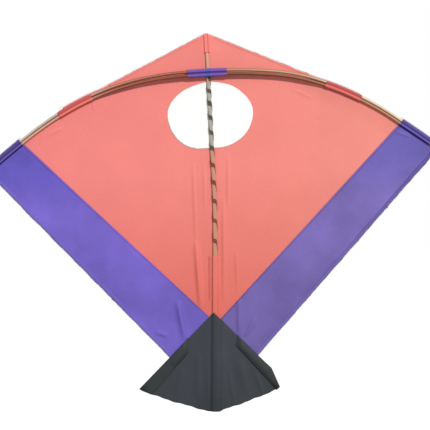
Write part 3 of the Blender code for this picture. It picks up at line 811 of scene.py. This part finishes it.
def split_bamboo(name, above, looks, swellings):
    """One bow splint: rounded outside, flatter against its neighbour, with swellings at its nodes."""
    centres, across, outward, sizes = [], [], [], []
    for x in np.sin(np.linspace(-1, 1, 241)) / math.sin(1.0) * BOW_X[-1]:
        place, out, level, radius = bow_at(x)
        x_place, z_place = shifted(place, out, above * (radius + GAP / 4))
        centres.append((x_place, level, z_place))
        outward.append((out[0], 0.0, out[1]))
        across.append((0.0, -1.0, 0.0))
        swell = sum(0.1 * math.exp(-(((x - swelling) / 0.0016) ** 2)) for swelling in swellings)
        wobble = 0.03 * noise.noise((x * 35, above, 0.0))
        sizes.append(radius * (0.985 + swell + wobble))

    def ring(i):
        return [(a, b * (1 - 0.1 * abs(b) / sizes[i]) if b * above < 0 else b)
                for a, b in oval(ROD_SIDES, sizes[i], sizes[i])]

    mesh = sweep_mesh(name, centres, across, outward, ring)
    finish_piece(name, mesh, looks, f"bow_{name}")


def make_spine():
    """The flat lath, its edges rounded and its nodes just proud."""
    heights = np.concatenate([np.linspace(0.046, 0.012, 16), np.linspace(0.01, -0.01, 8),
                              np.linspace(-0.012, SPINE_FOOT, 130)])
    swellings = (-0.034, -0.168, -0.305)

    def ring(i):
        z = heights[i]
        blend = min(max((z + 0.01) / 0.02, 0.0), 1.0)
        half = (SPINE_WIDTH + (SPINE_NOSE_WIDTH - SPINE_WIDTH) * blend) / 2 * 0.985
        half *= 1 + 0.02 * noise.noise((z * 40, 0.0, 0.0))
        swell = 1 + sum(0.05 * math.exp(-(((z - swelling) / 0.0014) ** 2)) for swelling in swellings)
        return oval(ROD_SIDES, half, SPINE_THICKNESS / 2 * 0.97 * swell, 0.35)

    count = len(heights)
    mesh = sweep_mesh("lath", [(spine_x(z), SPINE_MIDDLE, z) for z in heights],
                      [(1.0, 0.0, 0.0)] * count, [(0.0, -1.0, 0.0)] * count, ring)
    finish_piece("lath", mesh, LATH_BAMBOO, "spine")


split_bamboo("upper_splint", 1, UPPER_BAMBOO, (-0.205, -0.098, 0.071, 0.189))
split_bamboo("lower_splint", -1, LOWER_BAMBOO, (-0.152, -0.046, 0.109, 0.231))
make_spine()


# Thread

def frames_along(centres, closed):
    """Directions square to a path, turned as little as possible from one point to the next."""
    points = [Vector(centre) for centre in centres]
    count = len(points)
    across, outward = [], []
    side = None
    for i in range(count):
        before = points[i - 1] if i or closed else points[i]
        after = points[(i + 1) % count] if i < count - 1 or closed else points[i]
        tangent = (after - before).normalized()
        if side is None:
            side = tangent.orthogonal()
        side = (side - tangent * side.dot(tangent)).normalized()
        across.append(tuple(side))
        outward.append(tuple(tangent.cross(side)))
    return across, outward


def thread_mesh(name, centres, diameter, pitch, closed=False):
    """A thread of two plies, which turn once in every pitch."""
    travelled = [0.0]
    for a, b in zip(centres, centres[1:]):
        travelled.append(travelled[-1] + math.dist(a, b))

    def ring(i):
        turn = 2 * math.pi * travelled[i] / pitch
        section = []
        for angle in turns(8):
            radius = diameter / 2 * (0.84 + 0.16 * math.cos(2 * angle))
            section.append((radius * math.cos(angle + turn), radius * math.sin(angle + turn)))
        return section

    return sweep_mesh(name, centres, *frames_along(centres, closed), ring, closed)


def evenly(points, spacing):
    """Points at an even spacing along a path."""
    points = np.array(points)
    steps = np.linalg.norm(np.diff(points, axis=0), axis=1)
    travelled = np.concatenate([[0.0], np.cumsum(steps)])
    places = np.linspace(0.0, travelled[-1], max(2, round(travelled[-1] / spacing)))
    return list(zip(*(np.interp(places, travelled, points[:, axis]) for axis in range(3))))


def binding_strand(number, offset, strand, thickness):
    """One flat strand round the lath; offset is its place across the band."""
    reach_x = (SPINE_WIDTH + thickness) / 2
    reach_y = (SPINE_THICKNESS + thickness) / 2
    steps = 72  # in one turn
    points = []
    for i in range(int(BINDING_TURNS * steps) + 1):
        turn = i / steps
        angle = 2 * math.pi * turn
        z = BINDING_START - BINDING_PITCH * turn - BINDING_PITCH_GROWTH / 2 * turn * (turn - 1)
        z += 0.0004 * noise.noise((turn * 1.7, 0.0, 0.0)) * number
        points.append((spine_x(z) + reach_x * squared(math.sin(angle), 0.26),
                       SPINE_MIDDLE - reach_y * squared(math.cos(angle), 0.26), z + offset))
    points = evenly(points, 0.0005)
    across, outward = [], []
    for i, point in enumerate(points):
        ahead = Vector(points[min(i + 1, len(points) - 1)]) - Vector(points[max(i - 1, 0)])
        away = Vector((point[0] - spine_x(point[2]), 1.6 * (point[1] - SPINE_MIDDLE), 0.0))
        side = ahead.cross(away).normalized()
        across.append(tuple(side))
        outward.append(tuple(side.cross(ahead).normalized()))

    def ring(i):
        section = []
        for angle in turns(8):
            lobe = 0.93 + 0.07 * math.cos(2 * angle + i * 0.42 + number)
            section.append((strand / 2 * lobe * math.cos(angle), thickness / 2 * lobe * math.sin(angle)))
        return section

    return sweep_mesh("strand", points, across, outward, ring)


def make_binding():
    """Flat strands of dark thread side by side, wound round the lath in open turns."""
    strand, thickness, strands = 0.00112, 0.00042, 5
    meshes = [binding_strand(number, (number - (strands - 1) / 2) * strand * 0.96, strand, thickness)
              for number in range(strands)]
    finish_piece("binding", join_meshes("binding", meshes), THREAD_DARK, "spine_binding")


make_binding()


# Edges

def inward(start, end, inside):
    dx, dz = end[0] - start[0], end[1] - start[1]
    length = math.hypot(dx, dz)
    normal = (-dz / length, dx / length)
    towards = (inside[0] - start[0]) * normal[0] + (inside[1] - start[1]) * normal[1]
    return normal if towards > 0 else (-normal[0], -normal[1])


def sheet_from_rows(name, rows, looks, node, grain=None):
    """A paper piece through rows of points, with its thickness."""
    count = len(rows[0])
    faces = [(r * count + c, (r + 1) * count + c, (r + 1) * count + c + 1, r * count + c + 1)
             for r in range(len(rows) - 1) for c in range(count - 1)]
    mesh = new_mesh(name, [point for row in rows for point in row], faces, grain)
    piece = finish_piece(name, mesh, looks, node)
    thicken(piece)


def edge_wave(place):
    """How far the paper's edge strays outwards, by where it is."""
    x, z = place
    return 0.00055 * noise.noise((x * 70, z * 70, 6.0)) + 0.00045 * noise.noise((x * 210, z * 210, 2.0))


# Points round a fold, from the sheet's back to its front: distance inwards, level
LOWER_HEM_PROFILE = ((0.0012, 0.00455), (0.0004, 0.0045), (-0.0001, 0.0041),
                     (0.0002, 0.00375), (0.0016, 0.00378), (0.0032, 0.00388))
UPPER_HEM_PROFILE = ((0.0009, 0.00515), (0.0003, 0.0051), (-0.0001, 0.0048),
                     (0.0002, 0.00452), (0.001, 0.0046), (0.0018, 0.00471))


def fold_over(name, node, start, end, shares, profile, width, sheet, looks):
    """Paper folded forward along the edge from start to end; width(share) is where the fold ends."""
    square = inward(start, end, (0.0, 0.0))
    rows = []
    for share in shares:
        place = between(start, end, share)
        ragged = edge_wave(place)
        points = [(inner - (ragged if inner < 0.001 else 0.0), level) for inner, level in profile]
        row = []
        for inner, level in points + [(width(share), sheet + 0.00005)]:
            x, z = shifted(place, square, inner)
            row.append((x, level + slack_at(x, z), z))
        rows.append(row)
    sheet_from_rows(name, rows, looks, node)


def make_hems(side, word):
    """The purple hem over the thread of a lower edge, and the coral one of an upper edge."""
    fold_over(f"lower_hem_{word}", f"edge_hem_lower_{word}", (side * HALF_SPAN, TIP_HEIGHT), TAIL_POINT,
              np.linspace(0.005, 0.905, 150), LOWER_HEM_PROFILE,
              lambda share: HEM_WIDTH - 0.0003 + 0.0008 * noise.noise((share * 14, side, 2.0)),
              FRONT_SHEET, PURPLE_HEM)
    bend = (side * UPPER_EDGE_SPAN, NOSE[1] - UPPER_SLOPE * UPPER_EDGE_SPAN)
    fold_over(f"upper_hem_{word}", f"edge_hem_upper_{word}", NOSE, bend,
              np.linspace(0.075, 0.93, 70), UPPER_HEM_PROFILE,
              lambda share: 0.0033 + 0.0005 * noise.noise((share * 12, side, 8.0)),
              BACK_SHEET, CORAL)


def make_edge_threads(side, word):
    """The thread round the sail's edge, just outside the paper."""
    def follow(point):
        x, y, z = point
        away = edge_wave((x, z)) * 0.8 * 0.7
        if z < np.interp(abs(x), (0.0, HALF_SPAN), (-0.02, TIP_HEIGHT)):
            return (x + side * away, y + slack_at(x, z), z - away)
        bare = smooth(abs(x), TAB_SPAN[1] - 0.002, TAB_SPAN[1] + 0.001)
        bare *= 1 - smooth(abs(x), SLEEVE_SPAN[0] - 0.001, SLEEVE_SPAN[0] + 0.002)
        return (x, y + slack_at(x, z), z + away * (1 - bare) - 0.0042 * bare)

    for part in ("upper", "lower"):
        node = f"edge_thread_{part}_{word}"
        points = sorted((tuple(vertex.co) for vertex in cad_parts[node].data.vertices),
                        key=lambda point: point[0] * side)
        sections = []
        for point in points:
            if sections and abs(point[0] - sections[-1][-1][0]) < 0.0004:
                sections[-1].append(point)
            else:
                sections.append([point])
        centres = [tuple((np.min(section, axis=0) + np.max(section, axis=0)) / 2) for section in sections]
        path = [follow(point) for point in evenly(centres, 0.0006)]
        mesh = thread_mesh("thread", path, THREAD, THREAD_PITCH)
        finish_piece(f"{part}_thread_{word}", mesh, THREAD_PALE, node)


for side, word in ((-1, "left"), (1, "right")):
    make_hems(side, word)
    make_edge_threads(side, word)


# Paper over the bow

def hugging(level, radius, allowance, dip):
    """Paper over the front of both splints, as (outward offset, y), sunk a little between them."""
    centre, reach = radius + GAP / 4, radius + allowance
    quarter = [(centre + reach * math.sin(angle), level - reach * math.cos(angle))
               for angle in np.linspace(math.pi / 2, 0.0, 8)]
    groove = [(centre * t, level - reach * (1 - dip * (1 - t) ** 1.4)) for t in (0.75, 0.5, 0.25, 0.0)]
    half = quarter + groove
    return half + [(-offset, y) for offset, y in half[-2::-1]]


def over_bow(name, node, span, allowance, dip, foot, looks):
    """A paper piece over the bow; foot is (outer level, inner level, inner width) or None."""
    rows, grain = [], []
    for x in np.arange(min(span), max(span), 0.0008):
        _, _, level, radius = bow_at(x)
        arch = hugging(level, radius, allowance(x), dip)
        top, low = arch[0][0], arch[-1][0]
        end = 1 if x > (span[0] + span[1]) / 2 else -1
        torn = 1 - smooth(min(x - min(span), max(span) - x), 0.0, 0.006)
        if foot is None:
            tuck = level + radius * 0.8
            section = [(top - 0.0002, tuck)] + arch + [(low + 0.0002, tuck)]
        else:
            outer, inner, width = foot
            width += 0.0006 * noise.noise((x * 90, 1.0, 0.0))
            section = [(top + 0.0001, outer), (top + 0.0001, (outer + level) / 2)] + arch
            section += [(low - 0.0001, (inner + level) / 2), (low - 0.0003, inner - 0.0005),
                        (low - 0.0012, inner - 0.0001), (low - width, inner + 0.0001)]
        row = []
        for off, y in section:
            stray = 0.0011 * noise.noise((off * 420, end * 3.1, x // 0.1)) * torn
            place, outward, _, _ = bow_at(x + stray)
            px, pz = shifted(place, outward, off)
            row.append((px, y + (slack_at(px, pz) if foot and abs(off) > top else 0.0), pz))
            grain.append((abs(x), off / top, 0.0))
        rows.append(row)
    sheet_from_rows(name, rows, looks, node, grain)


LASHING_THREAD = 0.00045


def make_lashing():
    """The thread that ties the bow to the lath, crossed over the bow under its wrap."""
    side = SPINE_WIDTH / 2 + 0.0005
    _, _, level, radius = bow_at(0.0)
    arch = hugging(level, radius, 0.0001 + LASHING_THREAD / 2, 0.3)
    back = SPINE_MIDDLE + SPINE_THICKNESS / 2 + 0.00025
    run = [(arch[0][0], back)] + arch + [(arch[-1][0], back)]
    loop = [(-side, y, z) for z, y in run] + [(side, y, z) for z, y in run[::-1]]
    path = evenly(loop + loop[:1], 0.0004)[:-1]
    mesh = thread_mesh("lashing", path, LASHING_THREAD, THREAD_PITCH, closed=True)
    finish_piece("lashing", mesh, THREAD_DARK, "crossing_lashing")


def wrap_room(x):
    """Room for the lashing under the wrap, whose turns show on both sides of the spine."""
    return 0.00062 + 0.0003 * math.exp(-(((abs(x) - 0.0028) / 0.0008) ** 2))


def loose(seed):
    """Room under a tab or a sleeve, a little uneven along the bow."""
    return lambda x: 0.00035 + 0.0001 * noise.noise((x * 160, seed, 0.0))


make_lashing()
over_bow("bow_wrap", "bow_centre_wrap", WRAP_SPAN, wrap_room, 0.42, None, WRAP)
for side, word in ((-1, "left"), (1, "right")):
    for name, node, span, seed, foot, looks, sheet in (
            ("tab", "shoulder_tab", TAB_SPAN, 0.0, (0.005, 0.0048, 0.003), CORAL_OVER_BOW,
             "sail_main_panel"),
            ("sleeve", "tip_sleeve", SLEEVE_SPAN, 5.0, (0.0044, 0.0042, 0.003), PURPLE_OVER_BOW,
             f"side_strip_{word}")):
        over_bow(f"{name}_{word}", f"{node}_{word}", (side * span[0], side * span[1]), loose(seed), 0.3,
                 foot, looks)


def cover_strip(name, node, top, bottom, lath_width, foot, looks):
    """Coral paper pasted over the lath and down to the sail on both sides of it."""
    half, front = lath_width / 2 + 0.0003, SPINE_FRONT - 0.0002
    rows, grain = [], []
    for z in np.arange(bottom, top, 0.001):
        reach = min(foot, (NOSE[1] - 0.0004 - z) / UPPER_SLOPE) + 0.0003 * noise.noise((z * 60, 0.0, 3.0))
        wall = half + 0.0003 + 0.0002 * noise.noise((z * 220, 0.0, 9.0))
        sail = BACK_SHEET + slack_at(spine_x(z) + reach + 0.002, z)
        slope = (reach - wall) / 4
        right = [(half * 0.5, front), (half, front + 0.0001), (wall, front + 0.0005),
                 (wall + slope * 0.3, 0.0021), (wall + slope * 0.8, 0.003),
                 (wall + slope * 1.8, 0.0037), (reach + 0.0006, sail)]
        section = [(-dx, y) for dx, y in right[::-1]] + [(0.0, front)] + right
        rows.append([(spine_x(z) + dx, y, z) for dx, y in section])
        grain += [(dx, z, 0.0) for dx, _ in section]
    sheet_from_rows(name, rows, looks, node, grain)


cover_strip("nose_strip", "nose_cover_strip", 0.0468, 0.0247, SPINE_NOSE_WIDTH, 0.005, CORAL_OVER_NOSE)
cover_strip("spine_strip", "spine_cover_strip", -0.2188, -0.304, SPINE_WIDTH, 0.007, CORAL)


# The tail fan

FAN_APEX = (-0.0084, -0.2862)
FAN_SIDE_LEFT = ((-0.102, -0.3738),)
FAN_SIDE_RIGHT = ((0.043, -0.3423), (0.057, -0.3568), (0.066, -0.3798))
FAN_FOOT = (-0.0138, -0.4052)
# Across a fold, from the fan's edge (0) to the fold's inner edge (1): level open and closed
FAN_HEM_PROFILE = (
    (0.0, 0.003, 0.003), (-0.03, 0.0024, 0.0024), (0.0, 0.0016, 0.0016), (0.06, 0.00125, 0.00125),
    (0.16, 0.0011, 0.001), (0.3, 0.0011, 0.0008), (0.45, 0.0012, 0.0006), (0.6, 0.0013, 0.0006),
    (0.75, 0.0014, 0.001), (0.9, 0.0015, 0.002), (1.0, 0.0016, 0.003),
)
FAN_HEM_START = 0.0029  # level of a fold where it begins, flat on the fan


def fan_level(x, z):
    """Y of the fan: it rides over the lath and comes down to the sail on both sides."""
    away = off_spine(x, z)
    near = 0.0026
    steep = smooth(-away, near, near + 0.0016) + smooth(away, near, near + 0.009)
    slow = smooth(np.abs(away), near, 0.024)
    level = FAN_RIDGE + (FAN_NEAR - FAN_RIDGE) * steep + (FAN_SHEET - FAN_NEAR) * slow
    free = np.clip((np.abs(away) - near) / 0.006, 0.0, 1.0)
    return level + (rippled(x, z, 55, 30, 1.1) * 0.00022 - folded(x, z, FAN_FOLDS)) * free


def fan_outline():
    """The fan's outline, its bottom edge cut by hand in shallow waves."""
    def bottom(start, end, first, last, count):
        points = []
        square = inward(start, end, (0.0, -0.6))
        for share in np.linspace(first, last, count):
            wave = 0.0004 * math.sin(share * 17 + start[0] * 60) + 0.00025 * math.sin(share * 41 + 1.0)
            bulge = 0.0026 * math.sin(math.pi * share) ** 0.45
            points.append(shifted(between(start, end, share), square, wave * min(1.0, 6 * share) + bulge))
        return points

    left = bottom(FAN_SIDE_LEFT[0], FAN_FOOT, 0.0, 0.93, 44)
    right = bottom(FAN_SIDE_RIGHT[-1], FAN_FOOT, 0.93, 0.0, 40)
    return [FAN_APEX, *FAN_SIDE_LEFT, *left[1:], *right, *FAN_SIDE_RIGHT[1::-1]]


def along_path(path, share):
    lengths = [math.dist(a, b) for a, b in zip(path, path[1:])]
    left = share * sum(lengths)
    for a, b, length in zip(path, path[1:], lengths):
        if left <= length:
            return between(a, b, left / length)
        left -= length
    return path[-1]


def make_fan_hem(word, side, first, inner_start, inner_end, crisp_from):
    """The paper folded forward along one side of the fan, over its sliver.

    Its inner edge lies on the fan, and stands a little open below crisp_from, a share of its length.
    """
    outer = [between(FAN_APEX, side[0], first), *side]
    rows = []
    for share in np.linspace(0.0, 1.0, 90):
        out = along_path(outer, share)
        inner = between(inner_start, inner_end, share)
        crisp = smooth(share, crisp_from, crisp_from + 0.08)
        lift = smooth(share, 0.0, 0.12)
        row = []
        for across, open_level, closed_level in FAN_HEM_PROFILE:
            level = closed_level + (open_level - closed_level) * crisp
            level = FAN_HEM_START - (FAN_HEM_START - level) * lift
            x, z = between(out, inner, across)
            ripple = 0.00025 * noise.noise((x * 60, z * 60, 2.2)) * min(1.0, abs(across) * 4)
            row.append((x, level + ripple, z))
        rows.append(row)
    sheet_from_rows(f"fan_hem_{word}", rows, CHARCOAL_HEM, f"tail_hem_{word}")


cut_sheet("fan", "tail_fan", fan_outline(), None, fan_level, FAN_SPACING, CHARCOAL)
make_fan_hem("left", FAN_SIDE_LEFT, 0.34, (-0.0408, -0.3331), (-0.0868, -0.38), 0.34)
make_fan_hem("right", FAN_SIDE_RIGHT, 0.52, (0.0151, -0.327), (0.0618, -0.3832), 0.92)


# Knots, ties and slivers

FINE_PITCH = 0.0016
TIE_THREAD = 0.0004


def make_knot(word, side):
    """The knotted end of the lower edge thread, with two short frayed ends."""
    centre = [(low + high) / 2 for low, high in zip(*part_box(f"edge_knot_{word}"))]
    knot = []
    for angle in turns(60):
        radius = 0.00055 * (1.2 + 0.5 * math.cos(3 * angle / 2))
        knot.append((centre[0] + radius * math.cos(angle), centre[1] + 0.00035 * math.sin(3 * angle),
                     centre[2] + radius * math.sin(angle)))
    meshes = [thread_mesh("turn", knot, 0.0005, FINE_PITCH)]
    for reach in ((-0.0022 * side, 0.0005, 0.0009), (0.0006 * side, 0.0006, -0.0024)):
        end = []
        for share in np.linspace(0, 1, 14):
            x, y, z = (c + r * share for c, r in zip(centre, reach))
            end.append((x + 0.0003 * math.sin(3 * share), y, z))
        meshes.append(thread_mesh("end", end, 0.00038, FINE_PITCH))
    finish_piece(f"knot_{word}", join_meshes("knot", meshes), THREAD_DARK, f"edge_knot_{word}")


def make_tie(name, centre, upward, sideways, reach_up, reach_side):
    """Three turns of thread, side by side, round the bow or the lath."""
    meshes = []
    for number in (-1, 0, 1):
        shift = number * TIE_THREAD * 0.95
        loop = [(centre[0] + upward[0] * up + sideways[0] * shift, centre[1] + away,
                 centre[2] + upward[1] * up + sideways[1] * shift)
                for up, away in oval(48, reach_up, reach_side, 0.6)]
        meshes.append(thread_mesh("turn", loop, TIE_THREAD, FINE_PITCH, closed=True))
    finish_piece(name, join_meshes(name, meshes), THREAD_PALE, name)


def make_sliver(word, corner, first):
    """A bamboo sliver along one side of the fan, inside its fold."""
    square = inward(FAN_APEX, corner, FAN_FOOT)
    centres = []
    for share in np.linspace(first, 0.95, 40):
        x, z = shifted(between(FAN_APEX, corner, share), square, 0.0036)
        centres.append((x, 0.0021, z))
    count = len(centres)

    def ring(i):
        return oval(12, 0.0007 * (1 + 0.1 * noise.noise((i * 0.3, 0.0, 4.0))), 0.0003)

    mesh = sweep_mesh(f"sliver_{word}", centres, [(square[0], 0.0, square[1])] * count,
                      [(0.0, -1.0, 0.0)] * count, ring)
    finish_piece(f"sliver_{word}", mesh, LATH_BAMBOO, f"tail_splint_{word}")


for side, word in ((-1, "left"), (1, "right")):
    make_knot(word, side)
    place, outward, level, radius = bow_at(side * TIP_TIE_PLACE)
    make_tie(f"tip_tie_{word}", (place[0], level, place[1]), outward, (outward[1], -outward[0]),
             2 * radius + TIE_THREAD, radius + 0.0003)
make_tie("tail_tie", (spine_x(TAIL_TIE_HEIGHT), SPINE_MIDDLE, TAIL_TIE_HEIGHT), (1.0, 0.0), (0.0, 1.0),
         SPINE_WIDTH / 2 + 0.0003, SPINE_THICKNESS / 2 + 0.0003)
make_sliver("left", FAN_SIDE_LEFT[0], 0.46)
make_sliver("right", FAN_SIDE_RIGHT[0], 0.7)


# Stage, light and camera

def make_stage():
    half, level = 14.0, -0.86
    corners = [(x, y, level) for x, y in ((-half, -half), (half, -half), (half, half), (-half, half))]
    floor_mesh = new_mesh("floor", corners, [(0, 1, 2, 3)])
    floor = bpy.data.objects.new("floor", floor_mesh)
    bpy.context.scene.collection.objects.link(floor)
    nodes = Nodes("floor_finish", 0.9, 0.1)
    nodes.finish(nodes.ramp(nodes.noise(nodes.place(), 3.0), [(0.3, 0.93), (0.7, 0.95)]))
    nodes.shader.inputs["Emission Color"].default_value = (1.0, 1.0, 1.0, 1.0)
    nodes.shader.inputs["Emission Strength"].default_value = 0.34
    floor.visible_diffuse = False
    floor.visible_glossy = False
    floor_mesh.materials.append(nodes.material)


def make_world(light, backdrop):
    """An even white surround: backdrop is its strength where it is seen, light as a light."""
    world = bpy.data.worlds.new("surround")
    world.use_nodes = True
    nodes, links = world.node_tree.nodes, world.node_tree.links
    nodes.clear()
    path = nodes.new("ShaderNodeLightPath")
    mix = nodes.new("ShaderNodeMixShader")
    links.new(path.outputs["Is Camera Ray"], mix.inputs[0])
    for place, strength in ((1, light), (2, backdrop)):
        painted_wall_light = nodes.new("ShaderNodeBackground")
        painted_wall_light.inputs["Color"].default_value = (1.0, 1.0, 1.0, 1.0)
        painted_wall_light.inputs["Strength"].default_value = strength
        links.new(painted_wall_light.outputs[0], mix.inputs[place])
    output = nodes.new("ShaderNodeOutputWorld")
    links.new(mix.outputs[0], output.inputs["Surface"])
    bpy.context.scene.world = world


def make_sun(strength, towards, spread):
    data = bpy.data.lights.new("key", "SUN")
    data.energy = strength
    data.angle = math.radians(spread)
    lamp = bpy.data.objects.new("key", data)
    lamp.rotation_euler = Vector(towards).to_track_quat("Z", "Y").to_euler()
    bpy.context.scene.collection.objects.link(lamp)


def make_camera():
    """Square to the sail, turned a little about its own axis."""
    data = bpy.data.cameras.new("camera")
    data.lens = 85.0
    data.sensor_width = 36.0
    data.clip_start = 0.05
    data.clip_end = 60.0
    camera = bpy.data.objects.new("camera", data)
    roll = math.radians(3.03)
    picture_width = 0.516
    distance = picture_width / 2 * data.lens / (data.sensor_width / 2)
    camera.location = (-0.0007, FRONT_SHEET - distance, -0.17)
    camera.rotation_euler = (math.pi / 2, roll, 0.0)
    bpy.context.scene.collection.objects.link(camera)
    bpy.context.scene.camera = camera


make_stage()
make_world(0.44, 1.0)
make_sun(2.4, (0.42, -1.0, 0.52), 5.0)
make_camera()
bpy.context.scene.view_settings.view_transform = "Standard"
